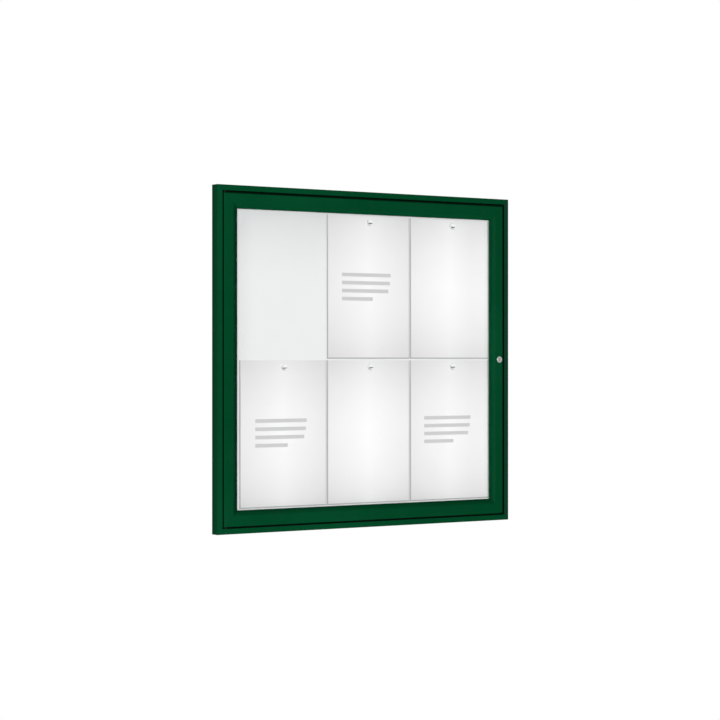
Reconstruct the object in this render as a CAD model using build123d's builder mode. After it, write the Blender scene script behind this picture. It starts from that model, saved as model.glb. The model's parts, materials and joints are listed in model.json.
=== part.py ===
from build123d import *
import os

# A flat wall case for notices: a fixed case and a glazed door that turns on two pivots.
# Millimetres. X right, Y from the front to the wall, Z up. The wall is the plane Y = 0.
# A setback is a depth measured back from the front face, an inset is measured in from an edge.

# Case. Its width and height follow from the sheets that it holds, further down.
case_depth = 22.0
case_face = 11.5
case_wall = 1.8
case_edge_radius = 1.2
flange_reach = 32.0
flange_thickness = 1.6
foot_reach = 8.0
foot_thickness = 1.6
drain_spacing = 400.0
drain_length = 16.0
drain_width = 4.0

# Back panel and its fixings
panel_thickness = 1.0
panel_clearance = 0.5
rivet_edge = 4.5
rivet_row_end = 178.0
rivet_column_end = 198.0
rivet_radius = 1.6
rivet_head_radius = 3.2
rivet_head_height = 1.0
rivet_head_taper = 30.0
rivet_tail_radius = 2.4
rivet_tail_height = 1.4
fixing_inset = 21.0
fixing_end = 70.0
fixing_hole_radius = 3.1
fixing_head_radius = 5.0
fixing_panel_radius = 6.5
spacer_radius = 6.5

# Door
door_gap = 3.0
door_flat = 21.5
door_bevel = 10.0
bevel_drop = 2.0
bevel_radius = 3.0
door_wall = 1.6
door_edge_radius = 1.5
lip_setback = 8.5
lip_edge_radius = 0.6
pocket_inset = 20.0
nose_hollow = 7.0
nose_floor = 1.4

# Pane, gasket and beads
pane_thickness = 3.0
gasket_leg = 0.6
gasket_web = 1.0
gasket_edge_clearance = 1.0
gasket_front_lip = 0.2
gasket_rear_inset = 5.0
bead_reach = 7.0
bead_height = 1.9
bead_edge = 0.9
bead_chamfer = 2.0
snap_depth = 0.8
snap_width = 1.0
snap_clearance = 0.1

# Corner cleats and their screws
cleat_clearance = 0.2
case_cleat_leg = 38.0
door_cleat_leg = 46.0
cleat_screw_radius = 2.0
case_screw_run = 26.0
case_screw_length = 9.0
case_screw_head_radius = 3.5
case_screw_head_height = 1.0
case_screw_head_taper = 20.0
door_screw_run = 30.0
door_screw_length = 7.0
door_screw_head_radius = 3.4
fastener_clearance = 0.05

# Hinge
pivot_inset = 5.0
pivot_setback = 5.0
pin_radius = 2.0
pin_in_door = 14.0
pin_in_case = 6.5
running_clearance = 0.05
bush_wall = 0.95
bush_length = 7.0
bush_flange_radius = 4.0
bush_flange_height = 1.0
washer_clearance = 0.3

# Lock
lock_face_radius = 7.0
lock_face_height = 1.8
lock_face_chamfer = 0.7
barrel_radius = 6.0
barrel_length = 5.6
plug_radius = 4.5
plug_head_radius = 5.2
plug_head_height = 1.2
plug_end_play = 0.2
keyway_length = 6.4
keyway_width = 1.2
keyway_depth = 4.0
nut_wall = 1.0
nut_clearance = 2.2
nut_height = 2.8
cam_thickness = 1.8
cam_width = 8.0
cam_square = 5.0
cam_engagement = 3.0
cam_slot_clearance = 0.6
cam_screw_radius = 1.4
cam_screw_length = 3.5
cam_screw_head_radius = 3.2
cam_screw_head_height = 1.5
pocket_clearance = 0.3
pocket_top = 15.0
pocket_bottom = 25.0
cover_lap = 1.2
cover_margin = 7.0
cover_thickness = 1.2
cover_clearance = 0.8
cover_screw_radius = 1.2
cover_screw_head_radius = 2.4
cover_screw_length = 2.6

# Seals and buffers
seal_setback = 9.5
seal_width = 3.5
seal_clearance = 0.4
seal_radius = 1.0
buffer_radius = 5.0
buffer_clearance = 0.3
buffer_end = 98.0

# Sheets and magnets
sheet_width = 210.0
sheet_height = 297.0
sheet_thickness = 0.25
sheet_column_gap = 1.2
sheet_row_gap = 3.0
sheet_left_margin = 17.2
sheet_right_margin = 3.4
sheet_end_margin = 8.0
sheet_flat = 24.0
sheet_ease = 24.0
sheet_standoff = 0.8
magnet_radius = 7.0
magnet_clearance = 1.05
magnet_chamfer = 1.0
columns = {"left": -1, "middle": 0, "right": 1}
rows = {"top": 1, "bottom": -1}

# Sizes that follow from the ones above: first the bay between the beads, which holds the sheets
bay_width = (
    len(columns) * sheet_width
    + (len(columns) - 1) * sheet_column_gap
    + sheet_left_margin
    + sheet_right_margin
)
bay_height = len(rows) * sheet_height + (len(rows) - 1) * sheet_row_gap + 2 * sheet_end_margin
door_inset = case_face + door_gap
door_width = bay_width + 2 * (pocket_inset + bead_reach)
door_height = bay_height + 2 * (pocket_inset + bead_reach)
case_width = door_width + 2 * door_inset
case_height = door_height + 2 * door_inset
door_face = door_flat + door_bevel
pane_front = lip_setback + gasket_leg
pane_back = pane_front + pane_thickness
bead_front = pane_back + gasket_leg
door_depth = bead_front + bead_height
panel_setback = door_depth + cover_thickness + cover_clearance
panel_back = panel_setback + panel_thickness
flange_back = panel_back + flange_thickness
gasket_inset = pocket_inset + gasket_edge_clearance
pane_inset = gasket_inset + gasket_web
rivet_inset = flange_reach - rivet_edge
pivot_x = -door_width / 2 + pivot_inset
pivot_y = pivot_setback - case_depth
washer_height = door_gap - bush_flange_height - washer_clearance
nut_across_flats = 2 * (barrel_radius + nut_wall)
lock_inset = door_wall + nut_clearance + nut_across_flats / 2
lock_x = door_width / 2 - lock_inset
pocket_width = nut_across_flats + 2 * pocket_clearance
cover_width = pocket_width + 2 * cover_lap
cam_front = barrel_length + plug_end_play
cam_back = cam_front + cam_thickness
cam_reach = lock_inset + door_gap + case_wall + cam_engagement
case_chamber = case_face - 2 * case_wall
door_chamber = pocket_inset - 2 * door_wall
bush_radius = pin_radius + running_clearance + bush_wall
sheet_front = panel_setback - sheet_thickness
magnet_height = sheet_front - pane_back - magnet_clearance

directions = {
    "top": ((0, 0, -1), (1, 0, 0)),
    "bottom": ((0, 0, 1), (-1, 0, 0)),
    "left": ((1, 0, 0), (0, 0, 1)),
    "right": ((-1, 0, 0), (0, 0, -1)),
}
corners = [(-1, 1), (1, 1), (-1, -1), (1, -1)]
hinge_corners = [(-1, 1), (-1, -1)]

os.makedirs("parts", exist_ok=True)


def save(piece, label):
    piece.part.label = label
    export_step(piece.part, f"parts/{label}.step")


def facing(setback):
    # A plane parallel to the front at this setback, with its normal towards the viewer.
    return Plane.XZ.offset(case_depth - setback)


def edge_plane(side, width, height):
    # On a side's outer edge: local X runs inward, local Y back from the front, Z along the edge.
    inward, along = directions[side]
    span = height if side in ("top", "bottom") else width
    origin = Vector(0, -case_depth, 0) - Vector(inward) * (span / 2)
    return Plane(origin=origin, x_dir=inward, z_dir=along)


def mitred_bar(section, side, width, height):
    # One length of a section along a side of a rectangle, cut at 45 degrees at both ends.
    plane = edge_plane(side, width, height)
    half_run = (width if side in ("top", "bottom") else height) / 2
    profile = section(plane)
    with BuildPart() as bar:
        extrude(profile, amount=half_run, both=True)
        for end in (1, -1):
            corner = plane.origin + plane.z_dir * (half_run * end)
            split(bisect_by=Plane(origin=corner, z_dir=plane.x_dir + plane.z_dir * end), keep=Keep.BOTTOM)
    return bar


def case_section(plane):
    with BuildSketch(plane) as section:
        with BuildLine():
            Polyline(
                (0, 0),
                (case_face, 0),
                (case_face, panel_back),
                (flange_reach, panel_back),
                (flange_reach, flange_back),
                (case_wall, flange_back),
                (case_wall, case_depth - foot_thickness),
                (foot_reach, case_depth - foot_thickness),
                (foot_reach, case_depth),
                (0, case_depth),
                close=True,
            )
        make_face()
        fillet(section.vertices().group_by(Axis.Y)[0], case_edge_radius)
        with Locations((case_face / 2, (case_wall + panel_back) / 2)):
            Rectangle(case_chamber, panel_back - case_wall, mode=Mode.SUBTRACT)
    return section.sketch


def door_section(plane):
    with BuildSketch(plane) as section:
        with BuildLine():
            Polyline(
                (0, 0),
                (door_flat, 0),
                (door_face, bevel_drop),
                (door_face, lip_setback),
                (pocket_inset, lip_setback),
                (pocket_inset, door_depth),
                (0, door_depth),
                close=True,
            )
        make_face()
        outer = section.vertices().group_by(Axis.X)[0]
        crest = section.vertices().group_by(Axis.Y)[0].sort_by(Axis.X)[-1]
        lip = section.vertices().group_by(Axis.X)[-1].sort_by(Axis.Y)[0]
        fillet(outer, door_edge_radius)
        fillet(crest, bevel_radius)
        fillet(lip, lip_edge_radius)
        with Locations((pocket_inset / 2, door_depth / 2)):
            Rectangle(door_chamber, door_depth - 2 * door_wall, mode=Mode.SUBTRACT)
        with BuildLine():
            skin = door_wall + nose_hollow * bevel_drop / door_bevel
            Polyline(
                (pocket_inset, door_wall),
                (pocket_inset + nose_hollow, skin),
                (pocket_inset + nose_hollow, lip_setback - nose_floor),
                (pocket_inset, lip_setback - nose_floor),
                close=True,
            )
        make_face(mode=Mode.SUBTRACT)
        with Locations((pocket_inset - snap_depth / 2, door_depth - door_wall + snap_width / 2)):
            Rectangle(snap_depth, snap_width, mode=Mode.SUBTRACT)
    return section.sketch


def gasket_section(plane):
    front_reach = door_face + gasket_front_lip
    rear_reach = door_face - gasket_rear_inset
    with BuildSketch(plane) as section:
        with BuildLine():
            Polyline(
                (gasket_inset, lip_setback),
                (front_reach, lip_setback),
                (front_reach, pane_front),
                (pane_inset, pane_front),
                (pane_inset, pane_back),
                (rear_reach, pane_back),
                (rear_reach, bead_front),
                (gasket_inset, bead_front),
                close=True,
            )
        make_face()
    return section.sketch


def bead_section(plane):
    inner = pocket_inset + bead_reach
    tongue_front = door_depth - door_wall + snap_clearance
    tongue_back = tongue_front + snap_width - 2 * snap_clearance
    tongue = pocket_inset - snap_depth + snap_clearance
    with BuildSketch(plane) as section:
        with BuildLine():
            Polyline(
                (pocket_inset, bead_front),
                (inner, bead_front),
                (inner, bead_front + bead_edge),
                (inner - bead_chamfer, door_depth),
                (pocket_inset, door_depth),
                (pocket_inset, tongue_back),
                (tongue, tongue_back),
                (tongue, tongue_front),
                (pocket_inset, tongue_front),
                close=True,
            )
        make_face()
    return section.sketch


def seal_section(plane):
    rise = door_gap - seal_clearance
    with BuildSketch(plane) as section:
        with Locations((case_face + rise / 2, seal_setback + seal_width / 2)):
            Rectangle(rise, seal_width)
        fillet(section.vertices().group_by(Axis.X)[-1], seal_radius)
    return section.sketch


def ell_points(corner, width, height, inset, leg, leg_width):
    # The outline of an L block that lies in one corner of a frame.
    sx, sz = corner
    outline = [(0, 0), (leg, 0), (leg, leg_width), (leg_width, leg_width), (leg_width, leg), (0, leg)]
    return [(sx * (width / 2 - inset - a), sz * (height / 2 - inset - b)) for a, b in outline]


def corner_pairs(width, height, inset, run):
    # Two points near each corner, one on each leg.
    points = []
    for sx, sz in corners:
        points.append((sx * (width / 2 - inset), sz * (height / 2 - run)))
        points.append((sx * (width / 2 - run), sz * (height / 2 - inset)))
    return points


def four_points(inset, end):
    # One point near each corner of the case, measured in from its sides and from its ends.
    return [(sx * (case_width / 2 - inset), sz * (case_height / 2 - end)) for sx, sz in corners]


case_screw_points = corner_pairs(case_width, case_height, case_face / 2, case_screw_run)
door_screw_points = corner_pairs(door_width, door_height, pocket_inset / 2, door_screw_run)
rivet_points = four_points(rivet_row_end, rivet_inset) + four_points(rivet_inset, rivet_column_end)
fixing_points = four_points(fixing_inset, fixing_end)
cover_screw_points = [
    (lock_x, pocket_top + cover_margin / 2),
    (lock_x, -pocket_bottom - cover_margin / 2),
]


def case_bar(side):
    # A case profile with the rivet, screw and wall fixing holes that fall on its flange.
    blank = mitred_bar(case_section, side, case_width, case_height)
    with BuildPart() as bar:
        add(blank.part)
        with BuildSketch(facing(flange_back)):
            with Locations(*rivet_points):
                Circle(rivet_radius + fastener_clearance)
            with Locations(*case_screw_points):
                Circle(cleat_screw_radius + fastener_clearance)
        extrude(amount=flange_thickness, mode=Mode.SUBTRACT)
        with BuildSketch(facing(panel_back)):
            with Locations(*fixing_points):
                Circle(fixing_head_radius)
        extrude(amount=-flange_thickness, taper=45, mode=Mode.SUBTRACT)
    return bar


# Case profiles
case_left = case_bar("left")
save(case_left, "case_left")

with BuildPart() as case_top:
    add(case_bar("top").part)
    with Locations((pivot_x, pivot_y, case_height / 2 - case_face + case_wall / 2)):
        Cylinder(bush_radius + fastener_clearance, 2 * case_wall, mode=Mode.SUBTRACT)
save(case_top, "case_top")

with BuildPart() as case_bottom:
    add(case_bar("bottom").part)
    with Locations((pivot_x, pivot_y, case_face - case_wall / 2 - case_height / 2)):
        Cylinder(bush_radius + fastener_clearance, 2 * case_wall, mode=Mode.SUBTRACT)
    with BuildSketch(Plane.XY.offset(-case_height / 2)):
        for sx in (1, -1):
            with Locations((sx * drain_spacing / 2, panel_setback / 2 - case_depth)):
                SlotOverall(drain_length, drain_width)
    extrude(amount=case_face, mode=Mode.SUBTRACT)
save(case_bottom, "case_bottom")

with BuildPart() as case_right:
    add(case_bar("right").part)
    strike_low = -cam_reach - cam_slot_clearance
    strike_high = cam_width / 2 + cam_slot_clearance
    strike_depth = cam_thickness + 2 * cam_slot_clearance
    with Locations(
        (
            case_width / 2 - case_face + case_wall / 2,
            (cam_front + cam_back) / 2 - case_depth,
            (strike_low + strike_high) / 2,
        )
    ):
        Box(2 * case_wall, strike_depth, strike_high - strike_low, mode=Mode.SUBTRACT)
save(case_right, "case_right")

# Corner cleats of the case
with BuildPart() as case_corner_cleats:
    leg_width = case_chamber - 2 * cleat_clearance
    inset = case_wall + cleat_clearance
    for corner in corners:
        with BuildSketch(facing(panel_back - cleat_clearance)):
            with BuildLine():
                Polyline(*ell_points(corner, case_width, case_height, inset, case_cleat_leg, leg_width), close=True)
            make_face()
        extrude(amount=panel_back - case_wall - 2 * cleat_clearance)
    for sx, sz in hinge_corners:
        with Locations((pivot_x, pivot_y, sz * (case_height / 2 - case_face / 2))):
            Cylinder(bush_radius + fastener_clearance, case_face, mode=Mode.SUBTRACT)
    with BuildSketch(facing(panel_back)):
        with Locations(*case_screw_points):
            Circle(cleat_screw_radius + fastener_clearance)
    extrude(amount=case_screw_length, mode=Mode.SUBTRACT)
save(case_corner_cleats, "case_corner_cleats")

with BuildPart() as case_cleat_screws:
    with BuildSketch(facing(flange_back)):
        with Locations(*case_screw_points):
            Circle(case_screw_head_radius)
    extrude(amount=-case_screw_head_height, taper=case_screw_head_taper)
    with BuildSketch(facing(flange_back)):
        with Locations(*case_screw_points):
            Circle(cleat_screw_radius)
    extrude(amount=case_screw_length)
save(case_cleat_screws, "case_cleat_screws")

# Back panel and its fixings
with BuildPart() as back_panel:
    with BuildSketch(facing(panel_back)):
        Rectangle(
            case_width - 2 * (case_face + panel_clearance),
            case_height - 2 * (case_face + panel_clearance),
        )
        with Locations(*rivet_points):
            Circle(rivet_radius + fastener_clearance, mode=Mode.SUBTRACT)
        with Locations(*fixing_points):
            Circle(fixing_panel_radius, mode=Mode.SUBTRACT)
    extrude(amount=panel_thickness)
save(back_panel, "back_panel")

with BuildPart() as panel_rivets:
    with BuildSketch(facing(panel_setback)):
        with Locations(*rivet_points):
            Circle(rivet_head_radius)
    extrude(amount=rivet_head_height, taper=rivet_head_taper)
    with BuildSketch(facing(flange_back)):
        with Locations(*rivet_points):
            Circle(rivet_radius)
    extrude(amount=flange_back - panel_setback)
    with BuildSketch(facing(flange_back + rivet_tail_height)):
        with Locations(*rivet_points):
            Circle(rivet_tail_radius)
    extrude(amount=rivet_tail_height)
save(panel_rivets, "panel_rivets")

with BuildPart() as wall_spacers:
    with BuildSketch(facing(case_depth)):
        with Locations(*fixing_points):
            Circle(spacer_radius)
            Circle(fixing_hole_radius, mode=Mode.SUBTRACT)
    extrude(amount=case_depth - flange_back)
save(wall_spacers, "wall_spacers")

# Weather seals and door buffers
for side in directions:
    with BuildPart() as seal:
        add(mitred_bar(seal_section, side, case_width, case_height).part)
    save(seal, f"seal_{side}")

with BuildPart() as door_buffers:
    with BuildSketch(facing(panel_setback)):
        for sz in (1, -1):
            with Locations((door_width / 2 - pocket_inset / 2, sz * (case_height / 2 - buffer_end))):
                Circle(buffer_radius)
    extrude(amount=panel_setback - door_depth - buffer_clearance)
save(door_buffers, "door_buffers")

# Door profiles
def door_bar(side):
    # A door profile with the screw holes that fall on its back.
    blank = mitred_bar(door_section, side, door_width, door_height)
    with BuildPart() as bar:
        add(blank.part)
        with BuildSketch(facing(door_depth)):
            with Locations(*door_screw_points):
                Circle(door_screw_head_radius)
        extrude(amount=door_wall, taper=45, mode=Mode.SUBTRACT)
        with BuildSketch(facing(door_depth)):
            with Locations(*door_screw_points):
                Circle(cleat_screw_radius + fastener_clearance)
        extrude(amount=door_wall, mode=Mode.SUBTRACT)
    return bar


door_hinge_stile = door_bar("left")
save(door_hinge_stile, "door_hinge_stile")

for side, sz in (("top", 1), ("bottom", -1)):
    with BuildPart() as rail:
        add(door_bar(side).part)
        with Locations((pivot_x, pivot_y, sz * (door_height / 2 - door_wall / 2))):
            Cylinder(pin_radius + fastener_clearance, 2 * door_wall, mode=Mode.SUBTRACT)
    save(rail, f"door_{side}_rail")

with BuildPart() as door_lock_stile:
    add(door_bar("right").part)
    with BuildSketch(facing(0)):
        with Locations((lock_x, 0)):
            Circle(barrel_radius + fastener_clearance)
    extrude(amount=-door_wall, mode=Mode.SUBTRACT)
    with BuildSketch(facing(door_depth)):
        with Locations((lock_x, (pocket_top - pocket_bottom) / 2)):
            RectangleRounded(pocket_width, pocket_top + pocket_bottom, 2 * door_wall)
        with Locations(*cover_screw_points):
            Circle(cover_screw_radius + fastener_clearance)
    extrude(amount=door_wall, mode=Mode.SUBTRACT)
    with Locations(
        (
            door_width / 2 - door_wall / 2,
            (cam_front + cam_back) / 2 - case_depth,
            (strike_low + strike_high) / 2,
        )
    ):
        Box(2 * door_wall, strike_depth, strike_high - strike_low, mode=Mode.SUBTRACT)
save(door_lock_stile, "door_lock_stile")

# Corner cleats of the door, their screws and the pivot pins
with BuildPart() as door_corner_cleats:
    leg_width = door_chamber - 2 * cleat_clearance
    inset = door_wall + cleat_clearance
    for corner in corners:
        with BuildSketch(facing(door_depth - door_wall - cleat_clearance)):
            with BuildLine():
                Polyline(*ell_points(corner, door_width, door_height, inset, door_cleat_leg, leg_width), close=True)
            make_face()
        extrude(amount=door_depth - 2 * door_wall - 2 * cleat_clearance)
    for sx, sz in hinge_corners:
        with Locations((pivot_x, pivot_y, sz * (door_height / 2 - pin_in_door / 2))):
            Cylinder(pin_radius + fastener_clearance, pin_in_door, mode=Mode.SUBTRACT)
    with BuildSketch(facing(door_depth)):
        with Locations(*door_screw_points):
            Circle(cleat_screw_radius + fastener_clearance)
    extrude(amount=door_screw_length + door_wall, mode=Mode.SUBTRACT)
save(door_corner_cleats, "door_corner_cleats")

with BuildPart() as door_cleat_screws:
    with BuildSketch(facing(door_depth)):
        with Locations(*door_screw_points):
            Circle(door_screw_head_radius - fastener_clearance)
    extrude(amount=door_screw_head_radius - fastener_clearance - cleat_screw_radius, taper=45)
    with BuildSketch(facing(door_depth)):
        with Locations(*door_screw_points):
            Circle(cleat_screw_radius)
    extrude(amount=door_screw_length)
save(door_cleat_screws, "door_cleat_screws")

with BuildPart() as pivot_pins:
    for sx, sz in hinge_corners:
        length = pin_in_door + door_gap + pin_in_case
        middle = door_height / 2 - pin_in_door + length / 2
        with Locations((pivot_x, pivot_y, sz * middle)):
            Cylinder(pin_radius, length)
save(pivot_pins, "pivot_pins")

with BuildPart() as hinge_bushes:
    for sx, sz in hinge_corners:
        wall = case_height / 2 - case_face
        with Locations((pivot_x, pivot_y, sz * (wall + bush_length / 2))):
            Cylinder(bush_radius, bush_length)
        with Locations((pivot_x, pivot_y, sz * (wall - bush_flange_height / 2))):
            Cylinder(bush_flange_radius, bush_flange_height)
        with Locations((pivot_x, pivot_y, sz * wall)):
            Cylinder(pin_radius + running_clearance, 3 * bush_length, mode=Mode.SUBTRACT)
save(hinge_bushes, "hinge_bushes")

with BuildPart() as hinge_washers:
    for sx, sz in hinge_corners:
        middle = case_height / 2 - case_face - bush_flange_height - washer_height / 2
        with Locations((pivot_x, pivot_y, sz * middle)):
            Cylinder(bush_flange_radius, washer_height)
            Cylinder(pin_radius + running_clearance, washer_height, mode=Mode.SUBTRACT)
save(hinge_washers, "hinge_washers")

# Pane, gasket and beads
with BuildPart() as glass_pane:
    with BuildSketch(facing(pane_back)):
        Rectangle(door_width - 2 * pane_inset, door_height - 2 * pane_inset)
    extrude(amount=pane_thickness)
save(glass_pane, "glass_pane")

with BuildPart() as glazing_gasket:
    for side in directions:
        add(mitred_bar(gasket_section, side, door_width, door_height).part)
save(glazing_gasket, "glazing_gasket")

for side in directions:
    with BuildPart() as bead:
        add(mitred_bar(bead_section, side, door_width, door_height).part)
    save(bead, f"bead_{side}")

# Lock
lock_plane = Plane(origin=(lock_x, -case_depth, 0), x_dir=(1, 0, 0), z_dir=(0, -1, 0))

with BuildPart() as lock_body:
    with BuildSketch(lock_plane):
        Circle(lock_face_radius)
    extrude(amount=lock_face_height)
    chamfer(lock_body.edges().group_by(Axis.Y)[0], lock_face_chamfer)
    with BuildSketch(lock_plane):
        Circle(barrel_radius)
    extrude(amount=-barrel_length)
    with Locations(lock_plane.offset(lock_face_height)):
        CounterBoreHole(
            plug_radius + running_clearance,
            plug_head_radius + running_clearance,
            plug_head_height,
        )
save(lock_body, "lock_body")

with BuildPart() as lock_nut:
    with BuildSketch(lock_plane.offset(-door_wall)):
        RegularPolygon(nut_across_flats / 2, 6, major_radius=False, rotation=30)
        Circle(barrel_radius + fastener_clearance, mode=Mode.SUBTRACT)
    extrude(amount=-nut_height)
save(lock_nut, "lock_nut")

with BuildPart() as lock_plug:
    with BuildSketch(lock_plane.offset(lock_face_height - plug_head_height)):
        Circle(plug_head_radius)
    extrude(amount=plug_head_height)
    with BuildSketch(lock_plane.offset(-cam_front)):
        Circle(plug_radius)
    extrude(amount=cam_front + lock_face_height - plug_head_height)
    with BuildSketch(lock_plane.offset(-cam_back)):
        Rectangle(cam_square, cam_square)
    extrude(amount=cam_thickness)
    with BuildSketch(lock_plane.offset(lock_face_height)):
        SlotOverall(keyway_length, keyway_width, rotation=90)
    extrude(amount=-keyway_depth, mode=Mode.SUBTRACT)
    with BuildSketch(lock_plane.offset(-cam_back)):
        Circle(cam_screw_radius + fastener_clearance)
    extrude(amount=cam_screw_length, mode=Mode.SUBTRACT)
save(lock_plug, "lock_plug")

with BuildPart() as lock_cam:
    with BuildSketch(lock_plane.offset(-cam_back)):
        with Locations((0, (cam_width / 2 - cam_reach) / 2)):
            SlotOverall(cam_reach + cam_width / 2, cam_width, rotation=90)
        Rectangle(cam_square + fastener_clearance, cam_square + fastener_clearance, mode=Mode.SUBTRACT)
    extrude(amount=cam_thickness)
save(lock_cam, "lock_cam")

with BuildPart() as cam_screw:
    with BuildSketch(lock_plane.offset(-cam_back)):
        Circle(cam_screw_head_radius)
    extrude(amount=-cam_screw_head_height)
    with BuildSketch(lock_plane.offset(-cam_back)):
        Circle(cam_screw_radius)
    extrude(amount=cam_screw_length)
save(cam_screw, "cam_screw")

with BuildPart() as lock_cover:
    with BuildSketch(facing(door_depth + cover_thickness)):
        with Locations((lock_x, (pocket_top - pocket_bottom) / 2)):
            RectangleRounded(cover_width, pocket_top + pocket_bottom + 2 * cover_margin, 2 * door_wall)
    extrude(amount=cover_thickness)
    with BuildSketch(facing(door_depth + cover_thickness)):
        with Locations(*cover_screw_points):
            Circle(cover_screw_head_radius + fastener_clearance)
    extrude(amount=cover_thickness, taper=45, mode=Mode.SUBTRACT)
save(lock_cover, "lock_cover")

with BuildPart() as lock_cover_screws:
    with BuildSketch(facing(door_depth + cover_thickness)):
        with Locations(*cover_screw_points):
            Circle(cover_screw_head_radius)
    extrude(amount=cover_screw_head_radius - cover_screw_radius, taper=45)
    with BuildSketch(facing(door_depth + cover_thickness)):
        with Locations(*cover_screw_points):
            Circle(cover_screw_radius)
    extrude(amount=cover_screw_length)
save(lock_cover_screws, "lock_cover_screws")

# Sheets, each pressed to the panel under its magnet and hanging a little off it below
column_pitch = sheet_width + sheet_column_gap
row_pitch = sheet_height + sheet_row_gap
block_shift = (sheet_left_margin - sheet_right_margin) / 2
hung_sheets = {
    ("top", "middle"): (3.0, 12.7),
    ("top", "right"): (7.7, 13.2),
    ("bottom", "left"): (1.8, 14.2),
    ("bottom", "middle"): (4.6, 14.5),
    ("bottom", "right"): (8.1, 13.8),
}


def fall_line(back):
    # The way down a sheet: flat at the top, two arcs off the panel, then straight to the foot.
    with BuildLine() as fall:
        middle = (sheet_flat + sheet_ease / 2, back - sheet_standoff / 2)
        Line((0, back), (sheet_flat, back))
        bend = TangentArc((sheet_flat, back), middle, tangent=(1, 0))
        TangentArc(middle, (sheet_flat + sheet_ease, back - sheet_standoff), tangent=bend % 1)
        Line((sheet_flat + sheet_ease, back - sheet_standoff), (sheet_height, back - sheet_standoff))
    return fall.line


for (row, column), (magnet_shift, magnet_drop) in hung_sheets.items():
    middle = columns[column] * column_pitch + block_shift
    top = (rows[row] * row_pitch + sheet_height) / 2
    hang = Plane(origin=(middle, sheet_front - case_depth, top), x_dir=(0, 0, -1), z_dir=(1, 0, 0))
    with BuildPart() as sheet:
        with BuildSketch(hang) as edge:
            with BuildLine():
                add(fall_line(0))
                add(fall_line(sheet_thickness))
                Line((0, 0), (0, sheet_thickness))
                Line((sheet_height, -sheet_standoff), (sheet_height, sheet_thickness - sheet_standoff))
            make_face()
        extrude(amount=sheet_width / 2, both=True)
    save(sheet, f"sheet_{row}_{column}")

    with BuildPart() as magnet:
        with BuildSketch(facing(sheet_front)):
            with Locations((middle + magnet_shift, top - magnet_drop)):
                Circle(magnet_radius)
        extrude(amount=magnet_height)
        chamfer(magnet.edges().group_by(Axis.Y)[0], magnet_chamfer)
    save(magnet, f"magnet_{row}_{column}")
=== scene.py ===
import bpy, bmesh, json, math
from mathutils import Vector, Matrix


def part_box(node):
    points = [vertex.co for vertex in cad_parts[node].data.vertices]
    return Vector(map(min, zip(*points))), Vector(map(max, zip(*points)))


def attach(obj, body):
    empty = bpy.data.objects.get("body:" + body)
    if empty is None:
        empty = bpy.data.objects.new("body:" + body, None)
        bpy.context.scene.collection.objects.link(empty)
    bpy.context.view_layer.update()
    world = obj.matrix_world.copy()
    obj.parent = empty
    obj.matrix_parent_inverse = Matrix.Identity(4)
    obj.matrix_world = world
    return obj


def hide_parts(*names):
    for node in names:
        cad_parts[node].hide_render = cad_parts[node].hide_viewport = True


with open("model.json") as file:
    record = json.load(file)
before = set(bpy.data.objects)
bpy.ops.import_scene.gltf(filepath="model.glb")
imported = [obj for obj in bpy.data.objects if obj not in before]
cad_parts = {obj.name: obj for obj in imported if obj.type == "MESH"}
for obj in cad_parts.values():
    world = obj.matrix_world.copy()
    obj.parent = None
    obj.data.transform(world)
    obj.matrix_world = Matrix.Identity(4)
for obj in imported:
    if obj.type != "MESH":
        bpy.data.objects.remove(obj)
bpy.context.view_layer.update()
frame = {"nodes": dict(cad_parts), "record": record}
nodes = frame["nodes"]
scene = bpy.context.scene
scene.view_settings.view_transform = "Standard"
print("notice case: frame loaded,", len(nodes), "nodes")


# short ways to make nodes and links
def addNode(tree, kind, **values):
    node = tree.nodes.new(kind)
    for key, value in values.items():
        if hasattr(node, key):
            setattr(node, key, value)
        else:
            node.inputs[key].default_value = value
    return node


def put(tree, socket, value):
    if isinstance(value, bpy.types.NodeSocket):
        tree.links.new(value, socket)
    else:
        socket.default_value = value


def calc(tree, operation, *values):
    node = addNode(tree, "ShaderNodeMath", operation=operation)
    for socket, value in zip(node.inputs, values):
        put(tree, socket, value)
    return node.outputs[0]


def times(tree, first, second):
    return calc(tree, "MULTIPLY", first, second)


def plus(tree, first, second):
    return calc(tree, "ADD", first, second)


def minus(tree, first, second):
    return calc(tree, "SUBTRACT", first, second)


def larger(tree, first, second):
    return calc(tree, "MAXIMUM", first, second)


def isOver(tree, value, limit):
    return calc(tree, "GREATER_THAN", value, limit)


def isUnder(tree, value, limit):
    return calc(tree, "LESS_THAN", value, limit)


def sizeOf(tree, value):
    return calc(tree, "ABSOLUTE", value)


def radiusOf(tree, first, second):
    squares = plus(tree, calc(tree, "POWER", first, 2.0), calc(tree, "POWER", second, 2.0))
    return calc(tree, "SQRT", squares)


def ramp(tree, value, fromLow, fromHigh, toLow=0.0, toHigh=1.0, smooth=True):
    node = addNode(tree, "ShaderNodeMapRange", interpolation_type="SMOOTHSTEP" if smooth else "LINEAR")
    limits = {"From Min": fromLow, "From Max": fromHigh, "To Min": toLow, "To Max": toHigh}
    for label, number in limits.items():
        node.inputs[label].default_value = number
    put(tree, node.inputs["Value"], value)
    return node.outputs["Result"]


def blendColour(tree, factor, first, second):
    node = addNode(tree, "ShaderNodeMix", data_type="RGBA", blend_type="MIX")
    for socket, value in zip((node.inputs[0], node.inputs[6], node.inputs[7]), (factor, first, second)):
        put(tree, socket, value)
    return node.outputs[2]


def blendValue(tree, factor, first, second):
    return plus(tree, times(tree, first, minus(tree, 1.0, factor)), times(tree, factor, second))


def noise(tree, place, scale, detail=2.0, rough=0.5):
    node = addNode(tree, "ShaderNodeTexNoise", Scale=scale, Detail=detail, Roughness=rough)
    tree.links.new(place, node.inputs["Vector"])
    return node.outputs["Fac"]


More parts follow.
